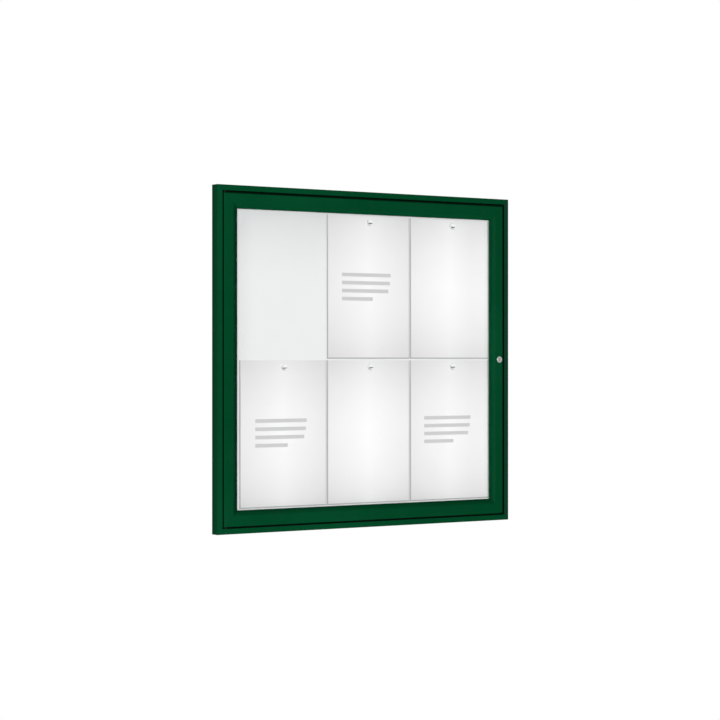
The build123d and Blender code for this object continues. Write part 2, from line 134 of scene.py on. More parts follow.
def mapped(tree, place, scale=(1, 1, 1), shift=(0, 0, 0)):
    node = addNode(tree, "ShaderNodeMapping", Scale=scale, Location=shift)
    tree.links.new(place, node.inputs["Vector"])
    return node.outputs["Vector"]


def objectPlace(tree):
    return tree.nodes.new("ShaderNodeTexCoord").outputs["Object"]


def split(tree, vector):
    node = tree.nodes.new("ShaderNodeSeparateXYZ")
    tree.links.new(vector, node.inputs[0])
    return node.outputs["X"], node.outputs["Y"], node.outputs["Z"]


def uvPlace(tree, layer):
    return split(tree, addNode(tree, "ShaderNodeUVMap", uv_map=layer).outputs["UV"])[:2]


def seenDirectly(tree):
    # rays from the camera, off a gloss or through glass
    rays = tree.nodes.new("ShaderNodeLightPath").outputs
    mirrored = larger(tree, rays["Is Camera Ray"], rays["Is Glossy Ray"])
    return larger(tree, mirrored, rays["Is Transmission Ray"])


def newGroup(name, inputs, outputs):
    group = bpy.data.node_groups.new(name, "ShaderNodeTree")
    for label, value in inputs.items():
        socket = group.interface.new_socket(name=label, in_out="INPUT", socket_type="NodeSocketFloat")
        socket.default_value = value
    for label in outputs:
        group.interface.new_socket(name=label, in_out="OUTPUT", socket_type="NodeSocketFloat")
    return group, group.nodes.new("NodeGroupInput").outputs, group.nodes.new("NodeGroupOutput").inputs


def useGroup(tree, group, **values):
    node = tree.nodes.new("ShaderNodeGroup")
    node.node_tree = group
    for key, value in values.items():
        node.inputs[key].default_value = value
    return node.outputs


def newMaterial(name, **values):
    material = bpy.data.materials.new(name)
    material.use_nodes = True
    tree = material.node_tree
    shader = tree.nodes["Principled BSDF"]
    for label, value in values.items():
        shader.inputs[label].default_value = value
    return material, tree, shader.inputs


def bumpFrom(tree, height, strength, distance):
    node = addNode(tree, "ShaderNodeBump", Strength=strength, Distance=distance)
    put(tree, node.inputs["Height"], height)
    return node.outputs["Normal"]


# shared effects
noiseSpan = (0.3, 0.7)             # where most of a noise lies
peelShape = {"smooth": 0.6, "fineScale": 2.3, "fineShare": 0.4}
dustShape = {
    "cloud": (38.0, 0.38, 0.75),   # scale, and where it starts and is full
    "speck": (900.0, 0.62, 0.78),
    "cloudShare": 0.75,
    "upward": (0.35, 0.95),        # how far a ledge has to face up
}
rolledStretch = (1.0, 30.0, 30.0)  # streaks run along X


def makeCoatGrain(shape):
    # orange peel of a baked coat, and the slow drift of its colour
    group, given, out = newGroup("coatGrain", {"Peel": 1400.0, "Drift": 5.0}, ["Height", "Mottle"])
    place = objectPlace(group)
    peel = addNode(group, "ShaderNodeTexVoronoi", feature="SMOOTH_F1", Smoothness=shape["smooth"])
    group.links.new(place, peel.inputs["Vector"])
    group.links.new(given["Peel"], peel.inputs["Scale"])
    fine = addNode(group, "ShaderNodeTexNoise", Detail=3.0)
    group.links.new(place, fine.inputs["Vector"])
    group.links.new(times(group, given["Peel"], shape["fineScale"]), fine.inputs["Scale"])
    small = times(group, fine.outputs["Fac"], shape["fineShare"])
    put(group, out["Height"], plus(group, peel.outputs["Distance"], small))
    slow = addNode(group, "ShaderNodeTexNoise", Detail=4.0, Roughness=0.6)
    group.links.new(place, slow.inputs["Vector"])
    group.links.new(given["Drift"], slow.inputs["Scale"])
    put(group, out["Mottle"], slow.outputs["Fac"])
    return group


def makeDustFilm(shape):
    # thin dust: everywhere a little, more on ledges that face up
    group, given, out = newGroup("dustFilm", {"Everywhere": 0.1, "Ledges": 0.5}, ["Dust"])
    place = objectPlace(group)
    cloudScale, *cloudSpan = shape["cloud"]
    speckScale, *speckSpan = shape["speck"]
    cloud = ramp(group, noise(group, place, cloudScale, 6.0, 0.65), *cloudSpan)
    speck = ramp(group, noise(group, place, speckScale, 2.0), *speckSpan)
    facing = split(group, group.nodes.new("ShaderNodeNewGeometry").outputs["Normal"])
    up = ramp(group, facing[2], *shape["upward"])
    level = plus(group, given["Everywhere"], times(group, up, given["Ledges"]))
    share = shape["cloudShare"]
    grain = plus(group, times(group, cloud, share), times(group, speck, 1 - share))
    put(group, out["Dust"], times(group, level, grain))
    return group


def makeMetalGrain(stretch):
    # rolled or plated metal: fine streaks along X and a cloudy patina
    group, given, out = newGroup("metalGrain", {"Streaks": 60.0, "Cloud": 70.0}, ["Streak", "Patina"])
    place = objectPlace(group)
    lines = addNode(group, "ShaderNodeTexNoise", Detail=3.0, Roughness=0.6)
    group.links.new(mapped(group, place, scale=stretch), lines.inputs["Vector"])
    group.links.new(given["Streaks"], lines.inputs["Scale"])
    put(group, out["Streak"], lines.outputs["Fac"])
    cloud = addNode(group, "ShaderNodeTexNoise", Detail=5.0, Roughness=0.65)
    group.links.new(place, cloud.inputs["Vector"])
    group.links.new(given["Cloud"], cloud.inputs["Scale"])
    put(group, out["Patina"], cloud.outputs["Fac"])
    return group


coatGrain, dustFilm = makeCoatGrain(peelShape), makeDustFilm(dustShape)
metalGrain = makeMetalGrain(rolledStretch)
print("notice case: shared effects made")

# green powder coat on the case and door profiles
greenLook = {
    "deep": (0.0004, 0.0492, 0.0156, 1),
    "light": (0.0010, 0.0585, 0.0194, 1),
    # the seam's dark green also serves as painted shade on the outer walls
    "seam": (0.0006, 0.0330, 0.0110, 1),
    "dustAndShadow": (0.10, 0.13, 0.115, 1),
    "gapShadeAndDirt": (0.0002, 0.0068, 0.0024, 1),
    "paintedTopRailLight": (0.0012, 0.0800, 0.0270, 1),        # painted light on the underside of the roll on the top rail
    "lockLipShade": (0.0062, 0.0400, 0.0205, 1),    # painted shade, greyer and darker, on the case's lip on the lock side
    "lockLipShadeShare": (0.65, 0.90),
    "hingeSideLight": 0.30,                # painted light: the coat is lighter towards the hinge side
    "grain": (1300.0, 4.5),        # scales of the peel and of the drift
    "film": (0.02, 0.30),          # dust everywhere and on ledges
    "peelDepth": (0.25, 0.00005),  # share of the seam's depth, and that depth
    "roughness": (0.42, 0.54),
    "dustRoughness": 0.4,
    "frontFace": -0.022,           # y of the front
    "mitreOffset": 0.020,          # |x| - |z| on every mitre line
    "seamWidth": (0.00010, 0.00022),
    "gap": (0.3552, 0.0021),       # |x| in the middle of the gap round the door, and its half width
    "gapDepth": (0.0002, 0.0006),  # where its painted shade and dirt start behind the front
    "gapFade": (0.0040, 0.0085),   # and where the coat is plain again
    "gapRest": 0.12,
    "hingeGap": 0.75,              # less painted shade and dirt in the gap on the hinge side
    "paintedShade": (0.3506, 0.3515, 0.3545),         # painted shade on the door's outer edge: from, full and end
    "paintedShadeShare": 0.8,
    "lockSide": 0.345,
    "sight": (0.322, 0.302),       # half width and half height of the opening in the door
    "roll": 0.010,                 # width of the rolled inner edge of the door
    "rollSlope": (0.30, 0.75),     # extra slope at the crest, and how much more towards the pane
    "rollBack": -0.0165,           # y behind which nothing is rolled
    "doorEdge": (0.3535, 0.005, 0.35, 0.001),    # |x| of the outer edge; width, slope and end of its roll
    "lip": (0.3565, 0.20),         # |x| where the case's front lip starts, and its fall to the outside
    "lipBack": -0.020,
    "wallSide": (0.3672, -0.016, 0.85),          # |x| of the outer walls, y from which painted shade darkens them towards the back, how much
}


def makeGreenCoat(look):
    material, tree, shader = newMaterial("greenCoat", **{"Specular IOR Level": 0.008})
    grain = useGroup(tree, coatGrain, Peel=look["grain"][0], Drift=look["grain"][1])
    film = useGroup(tree, dustFilm, Everywhere=look["film"][0], Ledges=look["film"][1])
    x, y, z = split(tree, objectPlace(tree))
    sideways, upright = sizeOf(tree, x), sizeOf(tree, z)
    offLine = sizeOf(tree, minus(tree, minus(tree, sideways, upright), look["mitreOffset"]))
    seam = ramp(tree, offLine, *look["seamWidth"], 1.0, 0.0)
    # painted light: the drift is pushed lighter towards the hinge side
    drift = calc(tree, "MULTIPLY_ADD", x, -look["hingeSideLight"], grain["Mottle"])
    colour = blendColour(tree, ramp(tree, drift, *noiseSpan), look["deep"], look["light"])
    colour = blendColour(tree, film["Dust"], colour, look["dustAndShadow"])
    colour = blendColour(tree, seam, colour, look["seam"])

    # the roll's place: how far in from its crest, and the part of it on the top rail
    across, along = minus(tree, sideways, look["sight"][0]), minus(tree, upright, look["sight"][1])
    fall = larger(tree, minus(tree, look["roll"], larger(tree, across, along)), 0.0)
    topRail = times(tree, isOver(tree, along, across), isOver(tree, z, 0.0))
    # painted light: the top rail's roll is coloured lighter towards the pane
    paintedTopRailLight = times(tree, topRail, ramp(tree, fall, 0.0, look["roll"], 0.0, 1.0, False))
    colour = blendColour(tree, paintedTopRailLight, colour, look["paintedTopRailLight"])

    # painted shade and dirt in the gap round the door, and painted shade on the door's outer edge by the gap
    # on the lock side and the top
    front = look["frontFace"]
    ring = larger(tree, sideways, plus(tree, upright, look["mitreOffset"]))
    inGap = calc(tree, "COMPARE", ring, *look["gap"])
    shadeAndDirt = times(tree, inGap, ramp(tree, y, *(front + depth for depth in look["gapDepth"])))
    byHinge = isUnder(tree, x, -look["lockSide"])
    shadeAndDirt = times(tree, shadeAndDirt, ramp(tree, byHinge, 0.0, 1.0, 1.0, look["hingeGap"], False))
    edgeFrom, edgeFull, edgeEnd = look["paintedShade"]
    onEdge = times(tree, ramp(tree, ring, edgeFrom, edgeFull), isUnder(tree, ring, edgeEnd))
    onTop = isOver(tree, plus(tree, z, look["mitreOffset"]), sideways)
    paintedShade = larger(tree, isOver(tree, x, look["lockSide"]), onTop)
    paintedShade = times(tree, times(tree, onEdge, paintedShade), look["paintedShadeShare"])
    shadeAndDirt = larger(tree, shadeAndDirt, paintedShade)
    fade = ramp(tree, y, *(front + depth for depth in look["gapFade"]), 1.0, look["gapRest"])

    # painted shade: the outer walls darken towards the back, in the seam's dark green
    outerFrom, dullFrom, dullShare = look["wallSide"]
    backShade = times(tree, isOver(tree, ring, outerFrom), ramp(tree, y, dullFrom, 0.0, 0.0, dullShare, False))
    colour = blendColour(tree, backShade, colour, look["seam"])
    # painted shade: the case's lip on the lock side is made greyer and darker in mottled patches
    lipFrom, lipSlope = look["lip"]
    lockLip = times(tree, isOver(tree, x, lipFrom), isUnder(tree, y, look["lipBack"]))
    wearAndShade = times(tree, lockLip, ramp(tree, grain["Mottle"], *noiseSpan, *look["lockLipShadeShare"]))
    colour = blendColour(tree, wearAndShade, colour, look["lockLipShade"])
    put(tree, shader["Base Color"], blendColour(tree, times(tree, shadeAndDirt, fade), colour, look["gapShadeAndDirt"]))
    rough = ramp(tree, grain["Mottle"], *noiseSpan, *look["roughness"])
    put(tree, shader["Roughness"], plus(tree, rough, times(tree, film["Dust"], look["dustRoughness"])))

    # coat texture, and the soft rolls of the door's edges and the case's lip
    crest, more = look["rollSlope"]
    roll = times(tree, times(tree, fall, fall), more / (2 * look["roll"]))
    roll = calc(tree, "MULTIPLY_ADD", fall, crest, roll)
    edge, width, slope, tail = look["doorEdge"]
    past = larger(tree, minus(tree, ring, edge - width), 0.0)
    past = times(tree, past, isUnder(tree, ring, edge + tail))
    roll = plus(tree, roll, times(tree, times(tree, past, past), slope / (2 * width)))
    outward = larger(tree, minus(tree, ring, lipFrom), 0.0)
    roll = calc(tree, "MULTIPLY_ADD", outward, lipSlope, roll)
    peelShare, seamDepth = look["peelDepth"]
    height = times(tree, minus(tree, times(tree, grain["Height"], peelShare), seam), seamDepth)
    height = minus(tree, height, times(tree, roll, isUnder(tree, y, look["rollBack"])))
    put(tree, shader["Normal"], bumpFrom(tree, height, 1.0, 1.0))
    return material


# white coated steel behind the sheets
panelLook = {
    "clean": (0.832, 0.833, 0.836, 1),
    "agedAndShade": (0.664, 0.672, 0.674, 1),
    "roughness": (0.30, 0.42),
    "grain": (700.0, 3.0),
    "film": (0.08, 0.3),
    "lift": (0.12, 0.00006),
    "headShade": (0.150, 0.304),            # z from and to which painted shade darkens the head of the panel
    "hingeShade": (0.052, 0.80),            # width of the painted shade strip by the hinge side, and how dark
    "hingeCurve": 1.5,
    "mottle": (0.35, 0.75, 0.0, 0.12),
    "rim": (0.26, 0.33, 0.295, 1),         # painted shade: a dark line where the door's frame meets the panel
    "rimFrom": (0.3229, 0.3038),
    "rimWidth": (0.0012, 0.0042, 0.0062),
    "rimRagged": (160.0, 0.0006),          # scale and depth
    "footShadow": (0.0000, 0.0002, 0.0011, 0.0016),     # painted shadow below the feet of the lower sheets
    "footShadowGrey": (0.40, 0.43, 0.41, 1),
    "primer": ((0.60, 0.61, 0.605, 1), (0.50, 0.51, 0.51, 1)),
    "primerRoughness": 0.15,
    "rolled": (22.0, 9.0),                 # scales of its streaks and cloud
    "rolledStreak": (0.45, 0.75, 0.0, 0.5),
    "backFrom": -0.0049,                   # y of the bare back
}


def makePanelCoat(look, footLow, footHigh):
    material, tree, shader = newMaterial("panelCoat", **{"Specular IOR Level": 0.4})
    grain = useGroup(tree, coatGrain, Peel=look["grain"][0], Drift=look["grain"][1])
    film = useGroup(tree, dustFilm, Everywhere=look["film"][0], Ledges=look["film"][1])
    place = objectPlace(tree)
    x, y, z = split(tree, place)
    rear = isOver(tree, y, look["backFrom"])
    onFront = minus(tree, 1.0, rear)
    # painted shade: darker towards the head and along the hinge side, with random mottle on top
    dull = calc(tree, "POWER", ramp(tree, z, *look["headShade"], 0.0, 1.0, False), 2.0)
    dull = plus(tree, dull, ramp(tree, grain["Mottle"], *look["mottle"]))
    stripWidth, stripDull = look["hingeShade"]
    inward = plus(tree, x, look["rimFrom"][0])
    strip = ramp(tree, inward, 0.0, stripWidth, stripDull, 0.0, False)
    dull = plus(tree, dull, calc(tree, "POWER", strip, look["hingeCurve"]))
    colour = blendColour(tree, calc(tree, "MINIMUM", dull, 1.0), look["clean"], look["agedAndShade"])
    colour = blendColour(tree, film["Dust"], colour, look["agedAndShade"])

    # painted shade: a ragged dark line on the panel's front just under the door's frame
    beyond = larger(tree, minus(tree, sizeOf(tree, x), look["rimFrom"][0]),
                    minus(tree, sizeOf(tree, z), look["rimFrom"][1]))
    raggedScale, raggedDepth = look["rimRagged"]
    beyond = plus(tree, beyond, times(tree, noise(tree, place, raggedScale, 4.0), raggedDepth))
    rise, hold, gone = look["rimWidth"]
    rimShade = times(tree, ramp(tree, beyond, 0.0, rise), ramp(tree, beyond, hold, gone, 1.0, 0.0))
    colour = blendColour(tree, times(tree, rimShade, onFront), colour, look["rim"])

    # painted shadow: a grey line on the panel just below the lower sheets' feet
    below = minus(tree, footLow.z, z)
    start, full, thin, end = look["footShadow"]
    dustAndShadow = times(tree, ramp(tree, below, start, full), ramp(tree, below, thin, end, 1.0, 0.0))
    middle, half = (footLow.x + footHigh.x) / 2, (footHigh.x - footLow.x) / 2
    dustAndShadow = times(tree, dustAndShadow, calc(tree, "COMPARE", x, middle, half))
    colour = blendColour(tree, times(tree, dustAndShadow, onFront), colour, look["footShadowGrey"])

    # the back has only its primer, with the rolling marks of the steel showing through
    rolled = useGroup(tree, metalGrain, Streaks=look["rolled"][0], Cloud=look["rolled"][1])
    primer = blendColour(tree, ramp(tree, rolled["Patina"], *noiseSpan), *look["primer"])
    streak = ramp(tree, rolled["Streak"], *look["rolledStreak"])
    primer = blendColour(tree, streak, primer, look["primer"][1])
    put(tree, shader["Base Color"], blendColour(tree, rear, colour, primer))
    rough = ramp(tree, grain["Mottle"], *noiseSpan, *look["roughness"])
    put(tree, shader["Roughness"], calc(tree, "MULTIPLY_ADD", rear, look["primerRoughness"], rough))
    put(tree, shader["Normal"], bumpFrom(tree, grain["Height"], *look["lift"]))
    return material


# paper: a painted pool of light towards the middle, painted shadow along the edges, and plain grey bars on
# some sheets
paperLook = {
    "corner": 0.665,               # albedo at the corners
    "acrossGain": 0.120,           # painted light added towards the middle, side to side
    "downGain": 0.170,             # painted light added towards the middle, top to bottom
    "printedLoss": 0.030,          # less of that on the printed sheets
    "lockLift": (0.270, 0.328, 0.070),     # painted light, brighter towards the lock side: x from and to, and how much
    "warmth": {"Red": 1.010, "Green": 0.990, "Blue": 0.997},
    # painted shadow along the left edge, the foot and a thin right edge of each sheet
    "edgeShadowGrey": 0.38,
    "edgeSoft": (0.7, 1.1),        # where an edge's painted shadow starts to go and where it has gone, in its width
    "leftEdge": 0.0165,            # in widths
    "rightEdge": 0.0060,
    "footEdge": 0.0100,            # in heights
    "lowerFoot": 1.1,              # how much narrower it is on the lower sheets
    "lowerFrom": -0.02,            # z below which the lower sheets hang
    "bars": [(0.475, 0.588, 0.295), (0.470, 0.532, 0.290), (0.460, 0.476, 0.280), (0.365, 0.420, 0.185)],
    "barHalf": 0.0125,
    "barGrey": 0.56,
    "fibre": (2600.0, 0.985, 1.015),       # scale, and the tone at its low and high
    "fibreSpan": (0.2, 0.8),
    "cloud": (24.0, 0.994, 1.006),
    "fade": (0.25, 0.6, 0.86, 1.0),        # of the bars along the fibre
    "lift": (0.12, 0.00003),
    "roughness": (0.78, 0.92),
}


def makePaper(look, printed):
    name = "noticePaper" if printed else "plainPaper"
    material, tree, shader = newMaterial(name, **{"Specular IOR Level": 0.15})
    across, down = uvPlace(tree, "sheet")
    place = objectPlace(tree)
    x, y, z = split(tree, place)
    sideways = sizeOf(tree, calc(tree, "MULTIPLY_ADD", across, 2.0, -1.0))
    upright = calc(tree, "MULTIPLY_ADD", down, 2.0, -1.0)
    # painted light: the paper is made brighter towards its middle and towards the lock side
    paintedGlow = calc(tree, "MULTIPLY_ADD", minus(tree, 1.0, sideways), look["acrossGain"], look["corner"])
    lift = minus(tree, 1.0, times(tree, upright, upright))
    gain = look["downGain"] - (look["printedLoss"] if printed else 0.0)
    paintedGlow = calc(tree, "MULTIPLY_ADD", lift, gain, paintedGlow)
    liftFrom, liftTo, lockLift = look["lockLift"]
    paintedGlow = plus(tree, paintedGlow, ramp(tree, x, liftFrom, liftTo, 0.0, lockLift))
    fibreScale, *fibreTones = look["fibre"]
    cloudScale, *cloudTones = look["cloud"]
    fibre = noise(tree, place, fibreScale, 4.0, 0.7)
    cloud = noise(tree, place, cloudScale, 3.0)
    paintedGlow = times(tree, paintedGlow, ramp(tree, fibre, *look["fibreSpan"], *fibreTones, False))
    paintedGlow = times(tree, paintedGlow, ramp(tree, cloud, *noiseSpan, *cloudTones))

    # painted shadow: grey bands along each sheet's left edge, foot and right edge
    inner, outer = look["edgeSoft"]
    left, right, foot = look["leftEdge"], look["rightEdge"], look["footEdge"]
    narrow = calc(tree, "MULTIPLY_ADD", isUnder(tree, z, look["lowerFrom"]), look["lowerFoot"], 1.0)
    edge = ramp(tree, times(tree, down, narrow), inner * foot, outer * foot, 1.0, 0.0)
    edge = larger(tree, edge, ramp(tree, across, inner * left, outer * left, 1.0, 0.0))
    edge = larger(tree, edge, ramp(tree, across, 1 - outer * right, 1 - inner * right))
    tone = blendValue(tree, edge, paintedGlow, look["edgeShadowGrey"])
    if printed:
        ink = 0.0
        for middle, height, half in look["bars"]:
            bar = times(tree, calc(tree, "COMPARE", across, middle, half),
                        calc(tree, "COMPARE", down, height, look["barHalf"]))
            ink = larger(tree, ink, bar)
        ink = times(tree, ink, ramp(tree, fibre, *look["fade"]))
        tone = blendValue(tree, ink, tone, look["barGrey"])
    white = tree.nodes.new("ShaderNodeCombineColor")
    for channel, share in look["warmth"].items():
        put(tree, white.inputs[channel], times(tree, tone, share))
    put(tree, shader["Base Color"], white.outputs["Color"])
    put(tree, shader["Roughness"], ramp(tree, fibre, *look["fibreSpan"], *look["roughness"]))
    put(tree, shader["Normal"], bumpFrom(tree, fibre, *look["lift"]))
    return material


# moulded white caps of the magnets, on a grey body
magnetLook = {
    "cap": (0.85, 0.855, 0.852, 1),
    "capShade": (0.60, 0.605, 0.60, 1),
    "body": (0.46, 0.465, 0.462, 1),
    "bodyFrom": (0.0007, 0.0008),  # behind the rim
    "bodyRadius": 0.9,             # of the cap's radius
    "lean": (0.55, 0.85),          # painted shade falls most at the lower left
    "paintedShade": (-0.55, 0.10, 0.25),
    "cloud": 420.0,
    "grain": (2400.0, 0.10, 0.00003),      # scale, strength and depth
    "roughness": (0.26, 0.42),
}


def makeMagnetCap(look, front):
    material, tree, shader = newMaterial("magnetCap", **{"Specular IOR Level": 0.35})
    place = objectPlace(tree)
    x, y, z = split(tree, place)
    across, up = uvPlace(tree, "cap")
    cloud = noise(tree, place, look["cloud"], 4.0, 0.6)
    # painted shade: the cap greys towards its lower left
    lean = plus(tree, times(tree, across, look["lean"][0]), times(tree, up, look["lean"][1]))
    wornFrom, wornTo, ragged = look["paintedShade"]
    wearAndShade = ramp(tree, plus(tree, lean, times(tree, cloud, ragged)), wornFrom, wornTo, 1.0, 0.0)
    colour = blendColour(tree, wearAndShade, look["cap"], look["capShade"])
    body = ramp(tree, y, *(front + depth for depth in look["bodyFrom"]))
    body = times(tree, body, isOver(tree, radiusOf(tree, across, up), look["bodyRadius"]))
    put(tree, shader["Base Color"], blendColour(tree, body, colour, look["body"]))
    put(tree, shader["Roughness"], ramp(tree, cloud, *noiseSpan, *look["roughness"]))
    grainScale, *lift = look["grain"]
    put(tree, shader["Normal"], bumpFrom(tree, noise(tree, place, grainScale, 3.0), *lift))
    return material


# clear pane, which lets the lamps through to the sheets
glassLook = {"tint": (0.990, 0.997, 0.994, 1), "roughness": (0.0, 0.03), "smear": (14.0, 0.45, 0.8)}


def makeGlass(look):
    values = {"Base Color": look["tint"], "Transmission Weight": 1.0, "IOR": 1.46}
    material, tree, shader = newMaterial("clearPane", **values)
    smearScale, *smearSpan = look["smear"]
    smear = noise(tree, objectPlace(tree), smearScale, 5.0, 0.6)
    put(tree, shader["Roughness"], ramp(tree, smear, *smearSpan, *look["roughness"]))
    path = tree.nodes.new("ShaderNodeLightPath").outputs
    clear = addNode(tree, "ShaderNodeBsdfTransparent", Color=look["tint"])
    mix = tree.nodes.new("ShaderNodeMixShader")
    put(tree, mix.inputs[0], larger(tree, path["Is Shadow Ray"], path["Is Diffuse Ray"]))
    tree.links.new(tree.nodes["Principled BSDF"].outputs[0], mix.inputs[1])
    tree.links.new(clear.outputs[0], mix.inputs[2])
    tree.links.new(mix.outputs[0], tree.nodes["Material Output"].inputs["Surface"])
    return material


# black rubber of the seals, dark grips of the magnets, black nylon of the hinge and spacers
darkLook = {
    "sealRubber": {"base": (0.0006, 0.0030, 0.0012, 1), "wearAndShade": (0.0022, 0.0062, 0.0030, 1),
                   "roughness": (0.62, 0.82), "peel": 2100.0, "lift": 0.35, "sheen": 0.03},
    "gripRubber": {"base": (0.030, 0.031, 0.031, 1), "wearAndShade": (0.065, 0.066, 0.065, 1),
                   "roughness": (0.50, 0.66), "peel": 2600.0, "lift": 0.25, "sheen": 0.15},
    "blackNylon": {"base": (0.0022, 0.0030, 0.0024, 1), "wearAndShade": (0.0065, 0.0080, 0.0068, 1),
                   "roughness": (0.42, 0.56), "peel": 3000.0, "lift": 0.18, "sheen": 0.04},
    "shared": {"dustAndShadow": (0.12, 0.12, 0.115, 1), "film": (0.01, 0.10), "drift": 90.0, "wornSpan": (0.4, 0.8),
               "depth": 0.00008},
}


def makeDark(name, looks):
    look, shared = looks[name], looks["shared"]
    material, tree, shader = newMaterial(name, **{"Specular IOR Level": look["sheen"]})
    grain = useGroup(tree, coatGrain, Peel=look["peel"], Drift=shared["drift"])
    film = useGroup(tree, dustFilm, Everywhere=shared["film"][0], Ledges=shared["film"][1])
    wearAndShade = ramp(tree, grain["Mottle"], *shared["wornSpan"])
    colour = blendColour(tree, wearAndShade, look["base"], look["wearAndShade"])
    put(tree, shader["Base Color"], blendColour(tree, film["Dust"], colour, shared["dustAndShadow"]))
    put(tree, shader["Roughness"], ramp(tree, grain["Mottle"], *noiseSpan, *look["roughness"]))
    put(tree, shader["Normal"], bumpFrom(tree, grain["Height"], look["lift"], shared["depth"]))
    return material


# plain metals: cleats and rivets, screws, and the hinge pins, made near black as painted shade in the door's
# gap
metalLook = {
    "castAlloy": {"bright": (0.66, 0.67, 0.68, 1), "dull": (0.46, 0.47, 0.48, 1),
                  "roughness": (0.42, 0.62), "streaks": 40.0, "cloud": 120.0},
    "zincSteel": {"bright": (0.64, 0.65, 0.66, 1), "dull": (0.44, 0.45, 0.45, 1),
                  "roughness": (0.26, 0.44), "streaks": 90.0, "cloud": 220.0},
    "pinShadeSteel": {"bright": (0.014, 0.015, 0.014, 1), "dull": (0.006, 0.007, 0.006, 1),
                     "roughness": (0.30, 0.50), "streaks": 90.0, "cloud": 220.0},
    "shared": {"tarnish": (0.35, 0.7), "roughSpan": (0.3, 0.75), "streakRough": 0.08,
               "lift": (0.15, 0.00004)},
}


def makeMetal(name, looks):
    look, shared = looks[name], looks["shared"]
    material, tree, shader = newMaterial(name, Metallic=1.0)
    grain = useGroup(tree, metalGrain, Streaks=look["streaks"], Cloud=look["cloud"])
    tarnish = ramp(tree, grain["Patina"], *shared["tarnish"])
    put(tree, shader["Base Color"], blendColour(tree, tarnish, look["bright"], look["dull"]))
    rough = ramp(tree, grain["Patina"], *shared["roughSpan"], *look["roughness"])
    streaked = times(tree, grain["Streak"], shared["streakRough"])
    put(tree, shader["Roughness"], plus(tree, rough, streaked))
    put(tree, shader["Normal"], bumpFrom(tree, grain["Streak"], *shared["lift"]))
    return material


# satin nickel of the lock, turned on a lathe: rings about its axis
lockLook = {
    "bright": (0.40, 0.41, 0.385, 1),
    "dull": (0.28, 0.29, 0.27, 1),
    "roughness": (0.28, 0.42),
    "rings": 2600.0,
    "grain": (120.0, 320.0),       # scales of the streaks and of the cloud
    "tarnish": (0.45, 0.8, 0.0, 0.7),
    "lift": (0.22, 0.00003),
}


def makeLockNickel(look, centre):
    material, tree, shader = newMaterial("lockNickel", Metallic=1.0)
    x, y, z = split(tree, mapped(tree, objectPlace(tree), shift=(-centre.x, 0, -centre.z)))
    ring = addNode(tree, "ShaderNodeTexNoise", noise_dimensions="1D", Scale=look["rings"], Detail=3.0)
    tree.links.new(radiusOf(tree, x, z), ring.inputs["W"])
    grain = useGroup(tree, metalGrain, Streaks=look["grain"][0], Cloud=look["grain"][1])
    tarnish = ramp(tree, grain["Patina"], *look["tarnish"])
    put(tree, shader["Base Color"], blendColour(tree, tarnish, look["bright"], look["dull"]))
    put(tree, shader["Roughness"], ramp(tree, ring.outputs["Fac"], *noiseSpan, *look["roughness"]))
    put(tree, shader["Normal"], bumpFrom(tree, ring.outputs["Fac"], *look["lift"]))
    return material


lockLow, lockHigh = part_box("lock_body")
greenCoat = makeGreenCoat(greenLook)
panelCoat = makePanelCoat(panelLook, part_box("sheet_bottom_left")[0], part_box("sheet_bottom_right")[1])
plainPaper, noticePaper = makePaper(paperLook, False), makePaper(paperLook, True)
magnetCap = makeMagnetCap(magnetLook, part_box("magnet_top_middle")[0].y)
clearPane = makeGlass(glassLook)
sealRubber, gripRubber, blackNylon = (makeDark(name, darkLook) for name in darkLook if name != "shared")
castAlloy, zincSteel, pinShadeSteel = (makeMetal(name, metalLook) for name in metalLook if name != "shared")
lockNickel = makeLockNickel(lockLook, (lockLow + lockHigh) / 2)

slotFinish = {
    "green_coat": greenCoat, "white_panel": panelCoat, "sheet_paper": plainPaper, "magnet_white": magnetCap,
    "clear_pane": clearPane, "black_rubber": sealRubber, "cleat_metal": castAlloy, "steel": zincSteel,
    "lock_metal": lockNickel, "nylon": blackNylon,
}
nodeFinish = {"pivot_pins": pinShadeSteel}
for part in frame["record"]["subparts"]:
    mesh = nodes[part["node"]].data
    mesh.materials.clear()
    mesh.materials.append(nodeFinish.get(part["node"], slotFinish[part["material_slot"]]))
print("notice case: finishes on the frame")


def finishPiece(name, bm, material, body):
    mesh = bpy.data.meshes.new(name)
    bm.to_mesh(mesh)
    bm.free()
    mesh.materials.append(material)
    piece = bpy.data.objects.new(name, mesh)
    scene.collection.objects.link(piece)
    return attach(piece, body)


# sheets of paper, held at the head by a magnet and easing off the panel below it
sheetShape = {
    "columns": 24, "rows": 44,
    "thickness": 0.00018,
    "clearance": 0.00002,
    "flat": 0.024,                 # pressed to the panel at the head
    "ease": 0.030,
    "standoff": 0.0008,
    "curl": 0.0003,                # how far the lower corners come forward
    "wave": 0.00008,
    "nextWave": 1.7,               # each sheet waves in its own way
    "waveTurns": (7.0, 2.6),       # down and across
    "printed": ("top_middle", "bottom_left", "bottom_right"),
}


